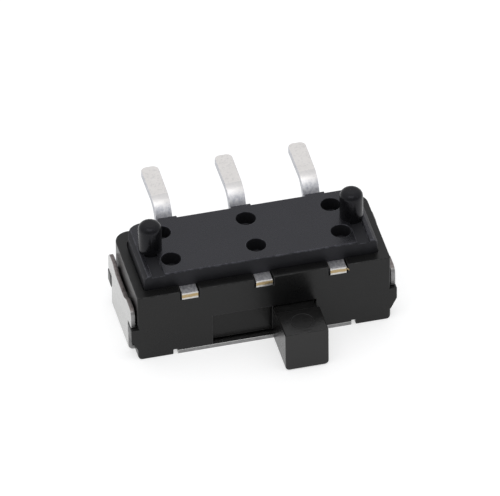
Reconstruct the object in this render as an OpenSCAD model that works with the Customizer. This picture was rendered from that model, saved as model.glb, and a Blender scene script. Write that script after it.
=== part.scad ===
// Miniature slide switch with a side knob, lying on its metal cover with the solder side up.
// The origin is the centre of the cover's outer face. The knob travels along X and points
// to -Y, the solder feet point to +Y, and the locating pegs point up, along +Z.
// The slider is drawn at the +X end of its travel.

/* [Housing] */
// Length of the housing over its end walls
housing_length = 8.54; // [8.5:0.02:12]
// Depth of the housing from its front wall to its back wall
housing_depth = 3.5; // [3.4:0.05:5]
// Height of the shelf under the terminal block, above the cover's outer face
shelf_height = 2.28; // [2.2:0.02:3]
// Rise of the rim above that shelf
rim_rise = 0.32; // [0.25:0.01:0.6]
// Width of the rim beside each end of the terminal block
end_rim = 0.32; // [0.2:0.01:0.5]
// Width of the rim in front of the terminal block
front_rim = 0.37; // [0.25:0.01:0.5]
// Width of the rim behind the terminal block
back_rim = 0.27; // [0.2:0.01:0.5]
// Width of the shelf that carries the terminal block
shelf_width = 0.3; // [0.15:0.05:0.4]
// Thickness of each end wall beside the slider
end_wall = 0.45; // [0.35:0.01:0.8]
// Thickness of the front wall beside the slider
front_wall = 0.2; // [0.15:0.01:0.3]
// Thickness of the back wall beside the slider
back_wall = 0.35; // [0.25:0.01:0.5]
// Radius of the two back corners
back_corner = 0.5; // [0.1:0.05:0.6]
// Radius of the two front corners
front_corner = 0.08; // [0.02:0.01:0.2]
// Radius of the lower corners of the end walls
lower_corner = 0.15; // [0.05:0.01:0.15]
// Height of the top of the knob's window
window_height = 1.35; // [1.1:0.05:1.5]

/* [Corner posts and latch ears] */
// Length of each corner post along the housing
post_length = 1.19; // [0.8:0.01:1.4]
// Depth of each corner post
post_depth = 0.55; // [0.4:0.05:0.6]
// Width of the relief beside each post
relief_width = 0.14; // [0.05:0.01:0.2]
// Height of the relief above the cover
relief_height = 0.04; // [0.02:0.01:0.1]
// Reach of the latch ears from the end walls
ear_reach = 0.22; // [0.16:0.01:0.24]
// Height at which an ear's ramp starts
ear_start = 0.42; // [0.3:0.01:0.6]
// Height at which an ear has its full reach
ear_full = 0.83; // [0.7:0.01:1]
// Height of the ears' flat tops
ear_top = 1.27; // [1.1:0.01:1.5]
// Distance from the back ears to the back wall's plane
ear_setback = 0.15; // [0.05:0.05:0.3]

/* [Terminal block] */
// Height of the block from its shelf to the mounting face
block_height = 0.87; // [0.75:0.01:1.2]
// Clearance of the block in the rim, each side
plug_gap = 0.01; // [0:0.005:0.03]
// Radius of the block's back corners
block_back_corner = 0.55; // [0.1:0.05:0.6]
// Radius of the block's front corners
block_front_corner = 0.08; // [0.02:0.01:0.2]
// Width of the pad on the back wall around each lead
back_pad = 0.66; // [0.62:0.02:1]
// Distance that the back wall is set in beside the pads
back_relief = 0.08; // [0.02:0.01:0.1]
// Chamfer along the top edge of each end
end_chamfer = 0.13; // [0.05:0.01:0.2]
// Chamfer along the top front edge
front_chamfer = 0.03; // [0.01:0.01:0.08]
// Diameter of the locating pegs
peg_diameter = 0.78; // [0.6:0.01:0.9]
// Height of the pegs above the mounting face
peg_height = 1.04; // [0.6:0.02:1.4]
// Radius of the rounding on the pegs' tips
peg_rounding = 0.22; // [0.05:0.01:0.28]
// Distance from the block's end to the peg's axis
peg_inset = 0.55; // [0.48:0.01:0.6]
// Width of the groove in front of each peg
groove_width = 0.42; // [0.2:0.01:0.6]
// Depth of that groove
groove_depth = 0.08; // [0.04:0.01:0.15]
// Distance from the block's end to the groove's middle
groove_inset = 0.49; // [0.4:0.01:0.6]
// Diameter of the core-pin holes
hole_diameter = 0.66; // [0.4:0.01:0.7]
// Depth of the core-pin holes
hole_depth = 0.5; // [0.2:0.01:0.54]
// Distance from the block's end to the outer holes
hole_inset = 1.08; // [0.95:0.01:1.2]
// Distance between the two rows of holes
hole_rows = 1.41; // [1.2:0.01:1.6]

/* [Terminals] */
// Distance between neighbouring terminals
terminal_pitch = 2.5; // [2:0.1:2.5]
// Thickness of the terminal strip
strip_thickness = 0.25; // [0.15:0.01:0.3]
// Width of the cut stub at the front
stub_width = 0.56; // [0.4:0.01:0.7]
// Distance that the stub stands out of the front wall's plane
stub_proud = 0.03; // [0:0.01:0.06]
// Width of the contact pad inside
pad_width = 0.9; // [0.7:0.05:1.2]
// Distance from each wall of the block to the contact pad
pad_margin = 0.38; // [0.2:0.01:0.6]
// Width of the lead where it leaves the block
lead_width = 0.56; // [0.4:0.01:0.6]
// Width of the solder foot
foot_width = 0.6; // [0.4:0.01:0.7]
// Radius of the foot's tip corners
foot_corner = 0.2; // [0.05:0.01:0.2]
// Length of the foot that has the full width
foot_length = 0.85; // [0.6:0.05:1.4]
// Distance from the housing's back wall to the foot's tip
foot_reach = 2.22; // [1.8:0.02:2.6]
// Height of the solder face above the mounting face
foot_standoff = 0.16; // [0.02:0.01:0.2]
// Distance from the block's back wall to the lead's first bend
lead_straight = 0.15; // [0.1:0.01:0.3]
// Steepness of the lead between its two bends
lead_angle = 62; // [45:1:85]
// Inner radius of the lead's first bend
lead_bend = 0.1; // [0.05:0.01:0.15]
// Inner radius of the bend into the solder foot
foot_bend = 0.5; // [0.1:0.05:0.6]
// Width of the rim notches beyond the stub and the lead, each side
notch_side = 0.04; // [0.03:0.01:0.2]
// Clearance of the rim notches under the strip
notch_gap = 0.02; // [0.01:0.01:0.05]

/* [Cover] */
// Thickness of the cover's sheet
sheet = 0.15; // [0.1:0.01:0.2]
// Clearance between the cover's arms and the corner posts
arm_gap = 0.05; // [0.02:0.01:0.1]
// Gap between an end wall and the cover's tab
tab_gap = 0.05; // [0.02:0.01:0.15]
// Inner radius of the bends at the tabs' roots
cover_bend = 0.05; // [0.02:0.01:0.08]
// Clearance between the tab's head and the ears' flat tops
latch_gap = 0.02; // [0.01:0.01:0.05]
// Distance from the edge of the tab's head to the housing's front and back planes
head_margin = 0.15; // [0.05:0.01:0.2]
// Height of the top of the head's wings
head_top = 1.98; // [1.8:0.01:2.05]
// Radius of the wings' outer corners
wing_corner = 0.25; // [0.05:0.01:0.3]
// Width of the dip in the middle of the head's top edge
dip_width = 1.2; // [0.8:0.05:1.4]
// Depth of that dip
dip_depth = 0.18; // [0.05:0.01:0.25]
// Distance along the edge that each side of the dip slopes over
dip_slope = 0.35; // [0.1:0.05:0.5]

/* [Slider and knob] */
// Travel of the slider between its two positions
travel = 2; // [1.6:0.1:2]
// Clearance at each end of the travel
stop_gap = 0.02; // [0.01:0.01:0.05]
// Clearance in front of and behind the slider
slide_gap = 0.03; // [0.02:0.01:0.05]
// Clearance below and above the slider
lift_gap = 0.05; // [0.02:0.01:0.06]
// Height of the flange that closes the window
flange_height = 1.5; // [1.4:0.05:1.8]
// Thickness of that flange
flange_thickness = 0.4; // [0.3:0.05:0.5]
// Length of the carrier behind the flange
carrier_length = 3.5; // [3.4:0.1:4]
// Height of the carrier
carrier_height = 1.35; // [1.2:0.05:1.5]
// Thickness of the pocket's walls
pocket_wall = 0.2; // [0.15:0.05:0.3]
// Height of the pocket's floor above the slider's underside
pocket_floor = 0.7; // [0.4:0.05:0.8]
// Width of the neck in the window
neck_width = 1.34; // [1:0.02:1.4]
// Clearance of the neck in the window, all round
neck_gap = 0.07; // [0.04:0.01:0.1]
// Width of the knob
knob_width = 1.46; // [1.2:0.02:2]
// Height of the knob
knob_height = 1.48; // [1.2:0.01:1.6]
// Length of the knob's full height, from its front face
knob_depth = 1.22; // [0.8:0.02:1.4]
// Distance from the front wall to the knob's front face
knob_reach = 1.75; // [1.7:0.05:3]
// Clearance between the knob's low rear part and the front wall
knob_gap = 0.05; // [0.03:0.01:0.1]
// Height of the knob's underside above the cover's outer face
knob_lift = 0.02; // [0.02:0.01:0.1]
// Radius of the knob's lower corners
knob_lower_corner = 0.14; // [0.04:0.01:0.2]
// Radius of the knob's upper corners
knob_upper_corner = 0.05; // [0.02:0.01:0.1]
// Diameter of the ejector mark on the knob
mark_diameter = 0.73; // [0.4:0.01:0.9]
// Depth of the ejector mark
mark_depth = 0.015; // [0.01:0.005:0.05]

/* [Moving contact] */
// Thickness of the contact's strip
contact_thickness = 0.1; // [0.06:0.01:0.12]
// Width of the contact
contact_width = 1.2; // [0.8:0.05:1.4]
// Gap between the contact's crowns and the pads
contact_gap = 0.015; // [0.01:0.005:0.03]
// Steepness of the contact's arms
arm_angle = 60; // [50:1:70]
// Inner radius of the bends at the arms' roots
root_bend = 0.15; // [0.1:0.01:0.2]
// Inner radius of the crowns
crown_bend = 0.2; // [0.15:0.01:0.25]
// Angle by which each crown turns down past level
crown_droop = 40; // [20:5:60]
// Length of the straight end beyond each crown
arm_end = 0.1; // [0.05:0.01:0.2]

/* [Hidden] */
$fn = 64;

front = -housing_depth / 2;
back = housing_depth / 2;
rim_top = shelf_height + rim_rise;

block_front = front + front_rim;
block_back = back - back_rim;
block_middle = (block_front + block_back) / 2;
block_half = housing_length / 2 - end_rim;
mounting_face = shelf_height + block_height;
peg_x = block_half - peg_inset;
hole_x = block_half - hole_inset;

cavity_half = housing_length / 2 - end_wall;
cavity_front = front + front_wall;
cavity_back = back - back_wall;
slider_floor = sheet + lift_gap;
cavity_top = slider_floor + flange_height + lift_gap;
window_width = neck_width + travel + 2 * neck_gap;

post_inner = back - post_depth;
plate_half = housing_length / 2 - post_length - relief_width;
arm_half = post_inner - arm_gap;
tab_inner = housing_length / 2 + tab_gap;
head_start = ear_top + latch_gap;
head_half = back - head_margin;
bend_start = tab_inner - cover_bend;
bend_top = sheet + cover_bend;

slider_x = travel / 2;
flange_half = cavity_half - slider_x - stop_gap;
slider_front = cavity_front + slide_gap;
slider_back = cavity_back - slide_gap;
flange_back = slider_front + flange_thickness;
knob_front = front - knob_reach;
knob_back = knob_front + knob_depth;
knob_top = knob_lift + knob_height;
neck_top = window_height - neck_gap;
pocket_height = slider_floor + pocket_floor;

foot_tip = back + foot_reach;
foot_bottom = mounting_face + foot_standoff - strip_thickness;
stub_end = front - stub_proud;
lead_sweep = (strip_thickness + lead_bend + foot_bend) * (1 - cos(lead_angle));
lead_rise = (foot_bottom - shelf_height - lead_sweep) / sin(lead_angle);

crown_top = shelf_height - contact_gap;
arm_sweep = contact_thickness + root_bend + crown_bend;
arm_height = crown_top - pocket_height - contact_thickness - arm_sweep * (1 - cos(arm_angle));
arm_length = arm_height / sin(arm_angle);
arm_root = terminal_pitch / 2 - arm_sweep * sin(arm_angle) - arm_length * cos(arm_angle);

past = 1; // how far cutting shapes run past what they cut

// Waste outside a round corner whose body lies in the +X +Y quadrant.
module corner_waste(radius) {
    if (radius > 0) difference() {
        translate([-past, -past]) square(past + radius);
        translate([radius, radius]) circle(radius);
    }
}

// Waste outside a chamfered corner whose body lies in the -X -Y quadrant.
module chamfer_waste(size) {
    polygon([[past, -size - past], [past, past], [-size - past, past]]);
}

// Flat outline between two depths, with round front and back corners.
module outline(half, y_front, y_back, front_radius, back_radius) {
    difference() {
        translate([-half, y_front]) square([2 * half, y_back - y_front]);
        for (side = [0, 1]) mirror([side, 0]) {
            translate([-half, y_front]) corner_waste(front_radius);
            translate([-half, y_back]) mirror([0, 1]) corner_waste(back_radius);
        }
    }
}

// Block between two corners, each a list of x, y and z.
module span(low, high) {
    translate(low) cube(high - low);
}

// Extrudes a profile drawn with X across and Y up, so that it stands in the XZ plane.
module along_y(y_from, y_to) {
    translate([0, y_to, 0]) rotate([90, 0, 0]) linear_extrude(y_to - y_from) children();
}

// Extrudes a profile drawn with X across and Y up, so that it stands in the YZ plane.
module along_x(x_from, x_to) {
    translate([x_from, 0, 0]) rotate([90, 0, 90]) linear_extrude(x_to - x_from) children();
}

// Sector of a ring between two angles that are at most 90 degrees apart.
module ring_sector(inner, outer, from_angle, to_angle) {
    middle_angle = (from_angle + to_angle) / 2;
    intersection() {
        difference() {
            circle(outer);
            circle(inner);
        }
        polygon([
            [0, 0],
            2 * outer * [cos(from_angle), sin(from_angle)],
            2 * outer * [cos(middle_angle), sin(middle_angle)],
            2 * outer * [cos(to_angle), sin(to_angle)]
        ]);
    }
}

// Side view of a bent strip. Each step is a straight run, the bend after it in degrees
// (positive turns up) and that bend's inner radius.
module strip_profile(thickness, steps, i = 0) {
    if (i < len(steps)) {
        run = steps[i][0];
        bend = steps[i][1];
        radius = steps[i][2];
        pivot = bend > 0 ? thickness + radius : -radius;
        square([run, thickness]);
        translate([run, pivot]) {
            if (bend > 0) ring_sector(radius, radius + thickness, -90, bend - 90);
            if (bend < 0) ring_sector(radius, radius + thickness, 90 + bend, 90);
            rotate(bend) translate([0, -pivot]) strip_profile(thickness, steps, i + 1);
        }
    }
}

// Slot through the rim that clears a terminal's stub or lead of the given width.
module rim_notch(x, width, y_from, y_to) {
    half = width / 2 + notch_side;
    span([x - half, y_from, shelf_height - notch_gap], [x + half, y_to, rim_top + past]);
}

// Latch ear on the +X end, with a ramp below and a flat top.
module latch_ear(y_from, y_to) {
    end = housing_length / 2;
    along_y(y_from, y_to) polygon([
        [end - end_wall / 2, ear_start],
        [end, ear_start],
        [end + ear_reach, ear_full],
        [end + ear_reach, ear_top],
        [end - end_wall / 2, ear_top]
    ]);
}

// Moulded frame: walls, rim, corner posts and latch ears.
module housing() {
    half = housing_length / 2;
    color("#2b2b2c") difference() {
        union() {
            linear_extrude(rim_top) outline(half, front, back, front_corner, back_corner);
            for (side = [0, 1]) mirror([side, 0, 0]) {
                latch_ear(front, -post_inner);
                latch_ear(post_inner, back - ear_setback);
            }
        }
        // Room for the slider, open below
        span([-cavity_half, cavity_front, -past], [cavity_half, cavity_back, cavity_top]);
        // Room for the contact, through the shelf
        span([shelf_width - block_half, block_front + shelf_width, cavity_top - past],
            [block_half - shelf_width, block_back - shelf_width, rim_top + past]);
        // Seat of the terminal block
        translate([0, 0, shelf_height]) linear_extrude(rim_rise + past)
            outline(block_half, block_front, block_back, block_front_corner, block_back_corner);
        // Window for the knob's neck
        span([-window_width / 2, front - past, -past],
            [window_width / 2, cavity_front + past / 2, window_height]);
        // Seat of the cover between the posts
        span([post_length - half, front - past, -past], [half - post_length, back + past, sheet]);
        span([-half - past, -post_inner, -past], [half + past, post_inner, sheet]);
        for (side = [0, 1]) mirror([side, 0, 0]) {
            span([plate_half, front - past, 0],
                [plate_half + relief_width, back + past, sheet + relief_height]);
            along_y(front - past, back + past) translate([-half, 0]) corner_waste(lower_corner);
        }
        for (x = [-terminal_pitch, 0, terminal_pitch]) {
            rim_notch(x, stub_width, front - past, block_front);
            rim_notch(x, lead_width, block_back, back + past);
        }
    }
}

// Outline of a terminal seen from above: stub, contact pad, lead and solder foot.
module terminal_outline() {
    foot_start = foot_tip - foot_length;
    flare_start = block_back + 2 * lead_straight;
    translate([-stub_width / 2, stub_end]) square([stub_width, block_back - stub_end]);
    translate([-pad_width / 2, block_front + pad_margin])
        square([pad_width, block_back - block_front - 2 * pad_margin]);
    translate([-lead_width / 2, block_back]) square([lead_width, flare_start - block_back]);
    polygon([
        [-lead_width / 2, flare_start],
        [lead_width / 2, flare_start],
        [foot_width / 2, foot_start],
        [-foot_width / 2, foot_start]
    ]);
    outline(foot_width / 2, foot_start, foot_tip, 0, foot_corner);
}

// One terminal: a strip that lies flush with the block's underside and rises to its foot.
module terminal(x) {
    color("#d6d2ca") translate([x, 0, 0]) intersection() {
        along_x(-pad_width, pad_width) translate([stub_end, shelf_height])
            strip_profile(strip_thickness, [
                [block_back + lead_straight - stub_end, lead_angle, lead_bend],
                [lead_rise, -lead_angle, foot_bend],
                [foot_reach, 0, 0]
            ]);
        translate([0, 0, shelf_height - past]) linear_extrude(block_height + 2 * past)
            terminal_outline();
    }
}

module terminal_left() {
    terminal(-terminal_pitch);
}

module terminal_middle() {
    terminal(0);
}

module terminal_right() {
    terminal(terminal_pitch);
}

// Locating peg with a rounded tip, rooted in the bottom of the groove.
module peg() {
    height = groove_depth + peg_height;
    translate([0, 0, -groove_depth]) rotate_extrude() difference() {
        square([peg_diameter / 2, height]);
        translate([peg_diameter / 2, height]) rotate(180) corner_waste(peg_rounding);
    }
}

// Moulded block that plugs into the rim and holds the three terminals.
module terminal_block() {
    half = block_half - plug_gap;
    y_front = block_front + plug_gap;
    y_back = block_back - plug_gap;
    groove_x = block_half - groove_inset;
    color("#333336") difference() {
        translate([0, 0, shelf_height]) linear_extrude(block_height) {
            outline(half, y_front, y_back - back_relief, block_front_corner, block_back_corner);
            for (x = [-terminal_pitch, 0, terminal_pitch])
                translate([x - back_pad / 2, block_middle]) square([back_pad, y_back - block_middle]);
        }
        for (side = [0, 1]) mirror([side, 0, 0]) {
            along_y(front, back) translate([half, mounting_face]) chamfer_waste(end_chamfer);
            span([groove_x - groove_width / 2, front, mounting_face - groove_depth],
                [groove_x + groove_width / 2, block_middle, mounting_face + past]);
        }
        along_x(-half - past, half + past) translate([y_front, mounting_face])
            mirror([1, 0]) chamfer_waste(front_chamfer);
        for (x = [-hole_x, 0, hole_x], row = [-1, 1])
            translate([x, block_middle + row * hole_rows / 2, mounting_face - hole_depth])
                cylinder(d = hole_diameter, h = hole_depth + past);
        for (x = [-terminal_pitch, 0, terminal_pitch])
            translate([x, 0, shelf_height - past]) linear_extrude(past + strip_thickness)
                terminal_outline();
    }
    color("#333336") for (x = [-peg_x, peg_x]) translate([x, block_middle, mounting_face]) peg();
}

// Outline of a tab's head as seen from the end.
module head_outline() {
    dip_half = dip_width / 2;
    difference() {
        translate([-head_half, head_start]) square([2 * head_half, head_top - head_start]);
        for (side = [0, 1]) mirror([side, 0])
            translate([head_half, head_top]) rotate(180) corner_waste(wing_corner);
        polygon([
            [-dip_half, head_top - dip_depth],
            [dip_half, head_top - dip_depth],
            [dip_half + dip_slope, head_top],
            [dip_half + dip_slope, head_top + past],
            [-dip_half - dip_slope, head_top + past],
            [-dip_half - dip_slope, head_top]
        ]);
    }
}

// Folded sheet cover: plate, two arms, and a T-shaped tab at each end.
module cover() {
    color("#d9d9d6") {
        linear_extrude(sheet) square([2 * plate_half, housing_depth], center = true);
        for (side = [0, 1]) mirror([side, 0, 0]) {
            along_y(-arm_half, arm_half) strip_profile(sheet, [
                [bend_start, 90, cover_bend],
                [head_start - bend_top, 0, 0]
            ]);
            along_x(tab_inner, tab_inner + sheet) head_outline();
        }
    }
}

// Outline of the knob as seen from the front.
module knob_outline() {
    half = knob_width / 2;
    difference() {
        translate([-half, knob_lift]) square([knob_width, knob_height]);
        for (side = [0, 1]) mirror([side, 0]) {
            translate([-half, knob_lift]) corner_waste(knob_lower_corner);
            translate([-half, knob_top]) mirror([0, 1]) corner_waste(knob_upper_corner);
        }
    }
}

// Moulded slider: knob, neck, the flange that closes the window, and the contact's carrier.
module slider() {
    carrier_half = carrier_length / 2;
    color("#2d2d2e") translate([slider_x, 0, 0]) difference() {
        union() {
            span([-flange_half, slider_front, slider_floor],
                [flange_half, flange_back, slider_floor + flange_height]);
            span([-carrier_half, slider_front, slider_floor],
                [carrier_half, slider_back, slider_floor + carrier_height]);
            span([-neck_width / 2, knob_back - knob_depth / 2, sheet + neck_gap],
                [neck_width / 2, slider_front, neck_top]);
            along_y(knob_front, knob_back) knob_outline();
            along_y(knob_back, front - knob_gap) intersection() {
                knob_outline();
                translate([-knob_width, 0]) square([2 * knob_width, neck_top]);
            }
        }
        span([pocket_wall - carrier_half, flange_back + pocket_wall, pocket_height],
            [carrier_half - pocket_wall, slider_back - pocket_wall, shelf_height]);
        translate([0, (knob_front + knob_back) / 2, knob_top - mark_depth])
            cylinder(d = mark_diameter, h = past);
    }
}

// Springy strip in the slider's pocket; its two crowns run under the pads.
module moving_contact() {
    y_middle = (flange_back + slider_back) / 2;
    color("#c9a66b") translate([slider_x, 0, 0]) for (side = [0, 1]) mirror([side, 0, 0])
        along_y(y_middle - contact_width / 2, y_middle + contact_width / 2)
            translate([0, pocket_height]) strip_profile(contact_thickness, [
                [arm_root, arm_angle, root_bend],
                [arm_length, -arm_angle - crown_droop, crown_bend],
                [arm_end, 0, 0]
            ]);
}

housing();
terminal_block();
terminal_left();
terminal_middle();
terminal_right();
cover();
slider();
moving_contact();
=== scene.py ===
import math

import bmesh
import bpy
from mathutils import Matrix, Vector


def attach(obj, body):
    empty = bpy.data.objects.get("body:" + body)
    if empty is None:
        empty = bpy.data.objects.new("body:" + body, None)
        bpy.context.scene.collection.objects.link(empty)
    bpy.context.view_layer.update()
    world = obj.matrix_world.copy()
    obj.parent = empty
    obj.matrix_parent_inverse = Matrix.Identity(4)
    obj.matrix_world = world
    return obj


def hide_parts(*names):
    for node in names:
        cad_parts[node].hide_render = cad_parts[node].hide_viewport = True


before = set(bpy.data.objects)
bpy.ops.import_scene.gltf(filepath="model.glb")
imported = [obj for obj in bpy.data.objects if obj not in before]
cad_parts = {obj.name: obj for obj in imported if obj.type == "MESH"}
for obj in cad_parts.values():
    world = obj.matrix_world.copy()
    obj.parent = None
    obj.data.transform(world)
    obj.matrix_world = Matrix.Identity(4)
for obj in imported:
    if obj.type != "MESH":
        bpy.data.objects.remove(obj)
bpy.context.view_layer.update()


# ---- Housing ----
# The frame that everything else fits in: one injection moulding in black glass-filled nylon.
# It is satin from the spark-eroded mould, and every edge has the small radius of its cavity.
# The cover's tabs snap over the ears on its end walls.
MM = 0.001


class Sock:
    """A socket of a material's node tree, so that shader maths reads as plain expressions."""

    def __init__(self, tree, socket):
        self.tree, self.socket = tree, socket

    def node(self, kind, settings=None, out=0, **inputs):
        """One output of a new node, given its settings and what its sockets hold.

        An input is called by its name, or as i3 for the one at place 3.
        """
        made = self.tree.nodes.new(kind)
        for key, value in (settings or {}).items():
            setattr(made, key, value)
        for key, value in inputs.items():
            where = made.inputs[int(key[1:]) if key[1:].isdigit() else key.replace("_", " ")]
            if isinstance(value, Sock):
                self.tree.links.new(value.socket, where)
            else:
                where.default_value = value
        return Sock(self.tree, made.outputs[out])

    def maths(self, operation, a, b=0.0):
        return self.node("ShaderNodeMath", {"operation": operation}, i0=a, i1=b)

    def __add__(self, other):
        return self.maths("ADD", self, other)

    def __sub__(self, other):
        return self.maths("SUBTRACT", self, other)

    def __rsub__(self, other):
        return self.maths("SUBTRACT", other, self)

    def __mul__(self, other):
        return self.maths("MULTIPLY", self, other)

    def __or__(self, other):
        """The greater of two masks."""
        return self.maths("MAXIMUM", self, other)

    __radd__, __rmul__, __ror__ = __add__, __mul__, __or__

    def __abs__(self):
        return self.maths("ABSOLUTE", self)

    def ramp(self, start, end):
        """A mask that is 0 at start, 1 at end and smooth between; start may be the greater."""
        return self.node("ShaderNodeMapRange", {"interpolation_type": "SMOOTHSTEP"},
                         i0=self, i1=start, i2=end)


class Finish(Sock):
    """A material with one Principled shader, whose own socket is the place in millimetres."""

    def __init__(self, name, **constants):
        self.material = bpy.data.materials.new(name)
        self.material.use_nodes = True
        self.tree = self.material.node_tree
        self.shader = self.tree.nodes["Principled BSDF"]
        for key, value in constants.items():
            self.shader.inputs[key.replace("_", " ")].default_value = value
        place = self.node("ShaderNodeTexCoord", out="Object")
        place = self.node("ShaderNodeVectorMath", {"operation": "SCALE"}, i0=place, Scale=1 / MM)
        self.socket = place.socket

    def parts(self, vector):
        """The X, Y and Z of a vector."""
        return [self.node("ShaderNodeSeparateXYZ", out=axis, i0=vector) for axis in "XYZ"]

    def stored(self, name, out="Fac"):
        """What softened() stores on a face: edge is 1 on a rounded edge, facing is its normal."""
        return self.node("ShaderNodeAttribute", {"attribute_name": name}, out=out)

    def noise(self, scale, detail=2.0, rough=0.5, stretch=(1.0, 1.0, 1.0)):
        """Fractal noise about 0.5, with this many grains to the millimetre."""
        at = self.node("ShaderNodeVectorMath", {"operation": "MULTIPLY"}, i0=self, i1=stretch)
        return self.node("ShaderNodeTexNoise", Vector=at, Scale=scale, Detail=detail,
                         Roughness=rough)

    def blend(self, mask, under, over):
        """The colour over where the mask is 1, and under where it is 0."""
        return self.node("ShaderNodeMix", {"data_type": "RGBA"}, out=2, i0=mask, i6=under, i7=over)

    def bumps(self, *layers):
        """A chain of bumps, each a height from 0 to 1 and its depth in millimetres."""
        chain = {}
        for height, depth in layers:
            bump = self.node("ShaderNodeBump", Height=height, Distance=depth * MM, **chain)
            chain = {"Normal": bump}
        return chain["Normal"]

    def wire(self, **sockets):
        """Link these to the shader and give the finished material."""
        for key, value in sockets.items():
            self.tree.links.new(value.socket, self.shader.inputs[key.replace("_", " ")])
        return self.material


def grey(level, tint=(1.0, 1.0, 1.0)):
    return (level * tint[0], level * tint[1], level * tint[2], 1.0)


def placed(name, shape, finishes):
    """A new object in the scene, with the shape of a bmesh and these materials."""
    mesh = bpy.data.meshes.new(name)
    for finish in finishes:
        mesh.materials.append(finish)
    shape.to_mesh(mesh)
    shape.free()
    made = bpy.data.objects.new(name, mesh)
    bpy.context.scene.collection.objects.link(made)
    return made


merged, level_turn, sharp_turn = 1e-4 * MM, math.radians(1), math.radians(40)


def softened(name, radius, finishes, body, cuts=(), least=25,
             leave=None, slight=None, which=None):
    """A CAD node with its edges rounded, which stands for the node.

    Its flat faces are first parted at the X positions in cuts, so that none has a hole in it.
    Edges that turn by less than least degrees, or that leave picks, stay as they are. Those that
    slight picks get a third of the radius. which gives the number of a face's finish.
    """
    shape = bmesh.new()
    shape.from_mesh(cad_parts[name].data)
    edge_mark = shape.faces.layers.float.new("edge")
    facing = shape.faces.layers.float_vector.new("facing")
    bmesh.ops.remove_doubles(shape, verts=shape.verts, dist=merged)
    for x in cuts:
        whole = shape.verts[:] + shape.edges[:] + shape.faces[:]
        parted = bmesh.ops.bisect_plane(shape, geom=whole, dist=merged,
                                        plane_co=(x * MM, 0, 0), plane_no=(1, 0, 0))
        for part in parted["geom_cut"]:
            if isinstance(part, bmesh.types.BMEdge):
                part.seam = True
    bmesh.ops.dissolve_limit(shape, angle_limit=level_turn, verts=shape.verts, edges=shape.edges,
                             delimit={"SEAM"})
    edges = [e for e in shape.edges
             if e.calc_face_angle() > math.radians(least) and not (leave and leave(e))]
    small = [e for e in edges if slight and slight(e)]
    for group, size in ((small, radius / 3), ([e for e in edges if e not in small], radius)):
        rounded = bmesh.ops.bevel(shape, geom=group, offset=size * MM, offset_type="OFFSET",
                                  affect="EDGES", segments=3, profile=0.5, material=-1,
                                  clamp_overlap=False)
        for face in rounded["faces"]:
            face[edge_mark] = 1.0
    shape.normal_update()
    for face in shape.faces:
        face.smooth = True
        face.material_index = which(face.calc_center_median() / MM) if which else 0
        face[facing] = face.normal
    for edge in shape.edges:
        edge.smooth = edge.calc_face_angle() < sharp_turn
    piece = placed(name + "_skin", shape, finishes)
    piece.data.attributes.remove(piece.data.attributes["custom_normal"])
    shading = piece.modifiers.new("shading", "WEIGHTED_NORMAL")
    shading.mode = "FACE_AREA_WITH_ANGLE"
    shading.keep_sharp = True
    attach(piece, body)
    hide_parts(name)


def moulded(name, level, tint, roughness, grain_depth, wear_and_highlight, **constants):
    """Black moulding: the grain of its mould, a slight flow mottle, and edges made pale in patches,
    which is partly rubbed wear and partly a painted edge highlight.

    level is its grey, tinted by tint, and wear_and_highlight the grey of those edge patches and
    of its specks.
    """
    m = Finish(name, **constants)
    mottle = m.noise(0.9, 3.0)
    grain = m.noise(16.0, 3.0, 0.6)
    fine = m.noise(60.0, 2.0)
    specks = m.noise(30.0, 1.0).ramp(0.68, 0.76)
    patches = m.noise(5.0, 4.0, 0.7).ramp(0.42, 0.62)
    edge = m.stored("edge")
    tone = m.blend(mottle, grey(level * 0.7, tint), grey(level * 1.3, tint))
    # Pale patches on the rounded edges: partly rubbed wear, partly a painted edge highlight.
    tone = m.blend(specks * 0.25 | edge * patches, tone, grey(wear_and_highlight, tint))
    uneven, average = grain * 0.14 + mottle * 0.08 + edge * 0.08, 0.11
    return m.wire(Base_Color=tone, Roughness=uneven + (roughness - average),
                  Normal=m.bumps((mottle, 0.0015), (grain, grain_depth), (fine, grain_depth * 0.3)))


ear_root, ear_tip, ear_low, ear_high = 4.2, 4.48, 0.4, 1.3


def on_ear_ramp(edge):
    """True on the latch ears, whose ramps meet the end walls too flatly for a rounded edge."""
    ends = [v.co / MM for v in edge.verts]
    near_ear = any(abs(p.x) > ear_root and ear_low < p.z < ear_high for p in ends)
    return near_ear and not all(abs(p.x) > ear_tip for p in ends)


housing_finish = moulded("housing_moulding", 0.008, (1.0, 1.0, 1.01), 0.30, 0.003, 0.03,
                         Specular_IOR_Level=0.29)
softened("housing", 0.03, [housing_finish], "switch_body",
         cuts=(0.0,), leave=on_ear_ramp)


# ---- Terminal block ----
# A second moulding in a slightly bluer, smoother black, moulded round the three terminals and
# pressed into the housing's rim. Its two pegs locate the switch on a board. Pale, ragged lines
# along its edges are partly wear from handling and partly a painted edge highlight. Its sides and
# grooves are duller than its top and a little lighter, which is painted light, and its pegs are a
# little darker, which is painted shade.
peg_x, peg_y, peg_radius, peg_foot = 3.4, 0.05, 0.39, 0.05
mounting_face, edge_zone, hole_x, slack = 3.15, 0.03, 2.87, 0.01


def at_peg_foot(edge):
    """True where a peg meets the block, which stays sharp."""
    ends = [v.co / MM for v in edge.verts]
    return all(abs(math.hypot(abs(p.x) - peg_x, p.y - peg_y) - peg_radius) < slack
               and p.z < mounting_face + peg_foot for p in ends)


def block_part(centre):
    """The finish of a face: 0 on the block's top, 1 on the pegs, 2 on its sides and grooves."""
    if centre.z > mounting_face + slack:
        return 1
    return 2 if centre.z < mounting_face - edge_zone else 0


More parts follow.
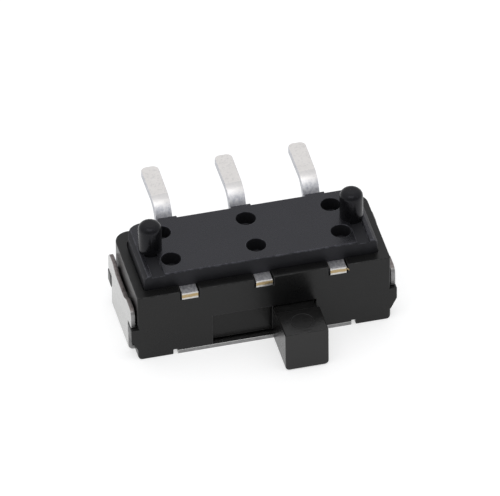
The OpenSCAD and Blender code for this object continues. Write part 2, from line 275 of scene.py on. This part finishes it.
block_finish = moulded("block_moulding", 0.008, (0.97, 0.98, 1.15), 0.27, 0.0035, 0.045,
                       Specular_IOR_Level=0.45, Specular_Tint=(0.95, 0.95, 1.08, 1.0))
# Sides and grooves: rougher than the top, and a little lighter in grey, which is painted light.
side_finish = moulded("block_side_moulding", 0.011, (0.97, 0.98, 1.1), 0.5, 0.0035, 0.05,
                      Specular_IOR_Level=0.28, Specular_Tint=(0.95, 0.95, 1.05, 1.0))
# Pegs: less glossy than the top, and a little darker in grey, which is painted shade.
peg_finish = moulded("peg_moulding", 0.006, (0.97, 0.98, 1.1), 0.22, 0.003, 0.1,
                     Specular_IOR_Level=0.21, Specular_Tint=(0.95, 0.95, 1.05, 1.0))
softened("terminal_block", 0.02, [block_finish, peg_finish, side_finish], "switch_body",
         cuts=(-peg_x, -hole_x, 0.0, hole_x, peg_x), leave=at_peg_foot,
         which=block_part)


# ---- Slider ----
# Knob, neck and carrier are one moulding in black acetal, a little coarser in grain than the
# housing. The carrier runs on the cover's plate and is duller, and an ejector pin has left a
# shallow round mark on top of the knob.
knob_x, carrier_front = 1.0, -1.7
mark_y, mark_reach, mark_rim, mark_zone = -2.89, 0.4, 1.495, 0.1


def in_mark(edge, low, high):
    """True for an edge of the ejector mark that lies between these heights."""
    ends = [v.co / MM for v in edge.verts]
    return all(math.hypot(p.x - knob_x, p.y - mark_y) < mark_reach and low < p.z < high
               for p in ends)


knob_finish = moulded("slider_moulding", 0.0095, (1.0, 0.99, 0.98), 0.24, 0.006, 0.03,
                      Specular_IOR_Level=0.39)
carrier_finish = moulded("carrier_moulding", 0.006, (1.0, 0.99, 0.98), 0.24, 0.006, 0.02,
                         Specular_IOR_Level=0.27)
softened("slider", 0.03, [knob_finish, carrier_finish], "slider", cuts=(knob_x,),
         leave=lambda edge: in_mark(edge, mark_rim - mark_zone, mark_rim),
         slight=lambda edge: in_mark(edge, mark_rim, mark_rim + mark_zone),
         which=lambda centre: int(centre.y > carrier_front))


# ---- Cover ----
# One blank of tinned steel sheet, 0.15 mm thick, folded up at both ends into T-shaped tabs that
# latch on the ears. The rolled faces are bright and lightly clouded. The sheared edges are
# darker. Every rounded edge has a pale line, partly burr and partly a painted edge highlight.
tab_foot = 1.15
steel, dark_steel, burr_and_highlight = (1.0, 1.0, 0.985), (1.0, 0.99, 0.97), (1.0, 1.0, 0.99)
cover = Finish("cover_sheet", Metallic=1.0)
height = cover.parts(cover)[2]
facing_y, facing_z = cover.parts(cover.stored("facing", "Vector"))[1:]
rolling = cover.noise(1.0, 4.0, 0.6, stretch=(1.5, 6.0, 40.0))
cloud = cover.noise(2.6, 4.0, 0.65)
tear = cover.noise(9.0, 3.0)
specks = cover.noise(22.0, 2.0).ramp(0.58, 0.72)
edge = cover.stored("edge")
cut_top = facing_z.ramp(0.6, 0.9) * height.ramp(tab_foot - 0.05, tab_foot + 0.05)
cut_side = abs(facing_y).ramp(0.6, 0.9)
cut = cut_top | cut_side
skin = cover.blend(cloud, grey(0.39, steel), grey(0.56, steel))
skin = cover.blend(specks * 0.3, skin, grey(0.34, dark_steel))
shear_top = cover.blend(tear, (0.085, 0.06, 0.055, 1.0), (0.42, 0.39, 0.385, 1.0))
shear_side = cover.blend(tear, grey(0.18, (1.0, 0.98, 0.99)), grey(0.38))
shear = cover.blend(cut_side, shear_top, shear_side)
# The pale line on the rounded edges is partly burr, partly a painted edge highlight.
tone = cover.blend(edge * 0.6, cover.blend(cut, skin, shear), grey(0.72, burr_and_highlight))
cover.wire(Base_Color=tone, Roughness=rolling * 0.1 + cloud * 0.1 + cut * 0.25 + 0.16,
           Normal=cover.bumps((rolling, 0.0006), (cloud, 0.002), (tear * cut, 0.004)))
softened("cover", 0.015, [cover.material], "switch_body", least=45)


# ---- Terminals ----
# Three strips of brass, tin plated before they were cut and bent, set flush in the underside of
# the block. The feet are matt grey. A painted shade darkens each lead where its bend starts, and
# the bends are pale, scuffed and less metallic, partly rubbed plating and partly a painted sheen.
# The stubs' shorn ends show a band of bare brass between smeared tin.
lead_y, stub_y, shorn_y, band_low, band_high = 1.5, -1.33, -1.77, 2.36, 2.485
plating = Finish("terminal_plating")
depth, height = plating.parts(plating)[1:]
facing_x, facing_z = plating.parts(plating.stored("facing", "Vector"))[::2]
on_lead = depth.ramp(lead_y - 0.1, lead_y + 0.1)
on_stub = depth.ramp(stub_y + 0.03, stub_y - 0.03) * (1 - plating.stored("edge"))
cloud = plating.noise(2.5, 4.0, 0.6)
scuff = plating.noise(8.0, 3.0, 0.6, stretch=(1.4, 1.0, 1.0))
pits = plating.noise(26.0, 2.0)
stains = plating.noise(12.0, 2.0).ramp(0.5, 0.7)
tin = plating.blend(cloud, (0.78, 0.755, 0.735, 1.0), (0.90, 0.875, 0.855, 1.0))
tin = plating.blend(stains * 0.35, tin, (0.58, 0.57, 0.57, 1.0))
# Painted shade: a darker band where each lead starts to bend, picked by the way its faces turn.
painted_shade_band = facing_z.ramp(0.999, 0.995) * facing_z.ramp(0.88, 0.94) * on_lead
tin = plating.blend(painted_shade_band * 0.6, tin, (0.66, 0.65, 0.65, 1.0))
# The bends get a pale, bluish, scuffed tone: partly rubbed plating, partly a painted sheen.
bend = facing_z.ramp(0.97, 0.6) * on_lead
scuffed = scuff.ramp(0.3, 0.7)
wear_and_highlight = plating.blend(scuffed, (0.60, 0.62, 0.70, 1.0), (0.95, 0.96, 1.0, 1.0))
tin = plating.blend(bend * 0.8, tin, wear_and_highlight)
scraped = plating.blend(scuffed, (0.64, 0.64, 0.69, 1.0), (0.98, 0.98, 1.0, 1.0))
tin = plating.blend(on_stub * 0.9, tin, scraped)
flank = plating.blend(scuff, (0.34, 0.35, 0.38, 1.0), (0.66, 0.67, 0.70, 1.0))
tin = plating.blend(abs(facing_x).ramp(0.7, 0.95) * 0.8, tin, flank)
shorn_end = depth.ramp(shorn_y + 0.005, shorn_y - 0.005)
smeared = plating.blend(pits, (0.43, 0.42, 0.40, 1.0), (0.80, 0.79, 0.77, 1.0))
brass = plating.blend(scuff, (0.32, 0.23, 0.105, 1.0), (0.55, 0.43, 0.25, 1.0))
ragged = height + plating.noise(5.0, 3.0) * 0.08 - 0.04
bare = (ragged.ramp(band_low - 0.015, band_low + 0.015)
        * ragged.ramp(band_high + 0.015, band_high - 0.015))
tone = plating.blend(shorn_end, tin, plating.blend(bare, smeared, brass))
# The bends are made less metallic so that they read brighter, partly rubbed plating and partly
# painted light. The stubs' tops are made a little less metallic too.
dull = bend * 0.45 | on_stub * facing_z.ramp(0.7, 0.9) * 0.1
plating.wire(Base_Color=tone, Metallic=1 - dull, Roughness=cloud * 0.12 + scuff * 0.18 + 0.26,
             Normal=plating.bumps((cloud, 0.006), (scuff, 0.006), (pits, 0.0016)))
for side in ("left", "middle", "right"):
    softened("terminal_" + side, 0.02, [plating.material], "switch_body")

# The shear left a curled sliver of metal on the right stub. It starts as a flattened ring and is
# extruded step by step, each with its turn in degrees, its length and its scale.
sliver_root, sliver_radius, flatness = Vector((2.77, -1.79, 2.46)) * MM, 0.032 * MM, 0.35
curl = ((12, 0.035, 0.92), (20, 0.03, 0.82), (25, 0.03, 0.68), (25, 0.028, 0.55), (18, 0.02, 0.3))
sliver = bmesh.new()
root = Matrix.Translation(sliver_root) @ Matrix.Rotation(math.radians(90), 4, "Y")
bmesh.ops.create_circle(sliver, cap_ends=True, segments=8, radius=sliver_radius, matrix=root)
bmesh.ops.scale(sliver, vec=(1.0, flatness, 1.0), space=Matrix.Translation(-sliver_root),
                verts=sliver.verts)
(tip,) = sliver.faces
heading = 0.0
for degrees, length, size in curl:
    grown = bmesh.ops.extrude_face_region(sliver, geom=[tip])["geom"]
    (tip,) = [part for part in grown if isinstance(part, bmesh.types.BMFace)]
    heading += math.radians(degrees)
    onward = Vector((math.cos(heading), 0.0, -math.sin(heading)))
    bmesh.ops.translate(sliver, vec=onward * length * MM, verts=tip.verts)
    centre = tip.calc_center_median()
    twist = Matrix.Rotation(math.radians(degrees), 3, "Y")
    bmesh.ops.rotate(sliver, cent=centre, matrix=twist, verts=tip.verts)
    bmesh.ops.scale(sliver, vec=(size, size, size), space=Matrix.Translation(-centre),
                    verts=tip.verts)
bmesh.ops.recalc_face_normals(sliver, faces=sliver.faces)
for face in sliver.faces:
    face.smooth = True
sliver = placed("stub_sliver", sliver, [plating.material])
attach(sliver, "switch_body")


# ---- Moving contact ----
# A strip of spring bronze bent into two arms, which lies in the slider's pocket and bridges two
# neighbouring pads. It is hidden inside the switch and has a plain rolled finish.
spring = Finish("contact_strip", Metallic=1.0)
grain = spring.noise(6.0, 3.0, stretch=(0.5, 4.0, 4.0))
spring.wire(Base_Color=spring.blend(grain, (0.62, 0.45, 0.24, 1.0), (0.80, 0.62, 0.36, 1.0)),
            Roughness=grain * 0.2 + 0.2, Normal=spring.bumps((grain, 0.001)))
softened("moving_contact", 0.008, [spring.material], "slider")


# ---- Studio ----
# A sheet of pale paper under a large soft sky that is brightest overhead and darkest at the
# front. One soft lamp, above the switch and a little to its front and left, gives the shadow
# under it. The paper looks white where it is seen, mirrored or seen through something.
paper = Finish("floor_paper", Base_Color=grey(0.55), Roughness=0.9, Specular_IOR_Level=0.0,
               Emission_Strength=0.6)
seen, mirrored, through = [paper.node("ShaderNodeLightPath", out="Is %s Ray" % kind)
                           for kind in ("Camera", "Glossy", "Transmission")]
sheet_half, sheet_drop = 1.5, 0.01 * MM
sheet = bmesh.new()
bmesh.ops.create_grid(sheet, x_segments=1, y_segments=1, size=sheet_half,
                      matrix=Matrix.Translation((0, 0, -sheet_drop)))
placed("floor", sheet, [paper.wire(Emission_Color=seen | mirrored | through)])

world = bpy.data.worlds.new("studio")
world.use_nodes = True
bpy.context.scene.world = world
sky = Sock(world.node_tree, None)
way = sky.node("ShaderNodeTexCoord", out="Generated")
rearward, upward = [sky.node("ShaderNodeSeparateXYZ", out=axis, i0=way) for axis in "YZ"]
sky_level, overhead_gain, front_loss = 0.81, 0.14, 0.36
level = (upward.ramp(0.5, 0.95) * overhead_gain + sky_level
         - rearward.ramp(-0.15, -0.8) * front_loss)
background = world.node_tree.nodes["Background"]
background.inputs["Color"].default_value = grey(1.0, (0.985, 0.99, 1.0))
world.node_tree.links.new(level.socket, background.inputs["Strength"])

softbox = bpy.data.lights.new("softbox", "AREA")
softbox.size = 0.10
softbox.energy = 0.03
lamp = bpy.data.objects.new("softbox", softbox)
lamp.location = (-0.02, -0.045, 0.14)
aim = Vector((0.0, 0.0, 0.001)) - lamp.location
lamp.rotation_euler = aim.to_track_quat("-Z", "Y").to_euler()
bpy.context.scene.collection.objects.link(lamp)


# ---- Camera ----
# A long lens 0.4 m away, to the left of the front and well above it, turned a little on its axis
# and shifted sideways and up so that the switch sits where it should in the frame.
turn, tilt, lean = math.radians(13.5), math.radians(39.7), math.radians(-0.65)
distance, sideways, upwards = 0.4, -0.068 * MM, 1.913 * MM
back = Vector((-math.sin(turn) * math.cos(tilt), -math.cos(turn) * math.cos(tilt), math.sin(tilt)))
level_right = (-back).cross(Vector((0, 0, 1))).normalized()
level_up = level_right.cross(-back)
right = level_right * math.cos(lean) + level_up * math.sin(lean)
above = level_up * math.cos(lean) - level_right * math.sin(lean)
lens = bpy.data.cameras.new("camera")
lens.sensor_width = 36.0
lens.lens = 873.8
lens.clip_start, lens.clip_end = 0.01, 10.0
camera = bpy.data.objects.new("camera", lens)
place = Matrix.Translation(back * distance + right * sideways + above * upwards)
camera.matrix_world = place @ Matrix((right, above, back)).transposed().to_4x4()
bpy.context.scene.collection.objects.link(camera)
bpy.context.scene.camera = camera
bpy.context.scene.view_settings.view_transform = "Standard"
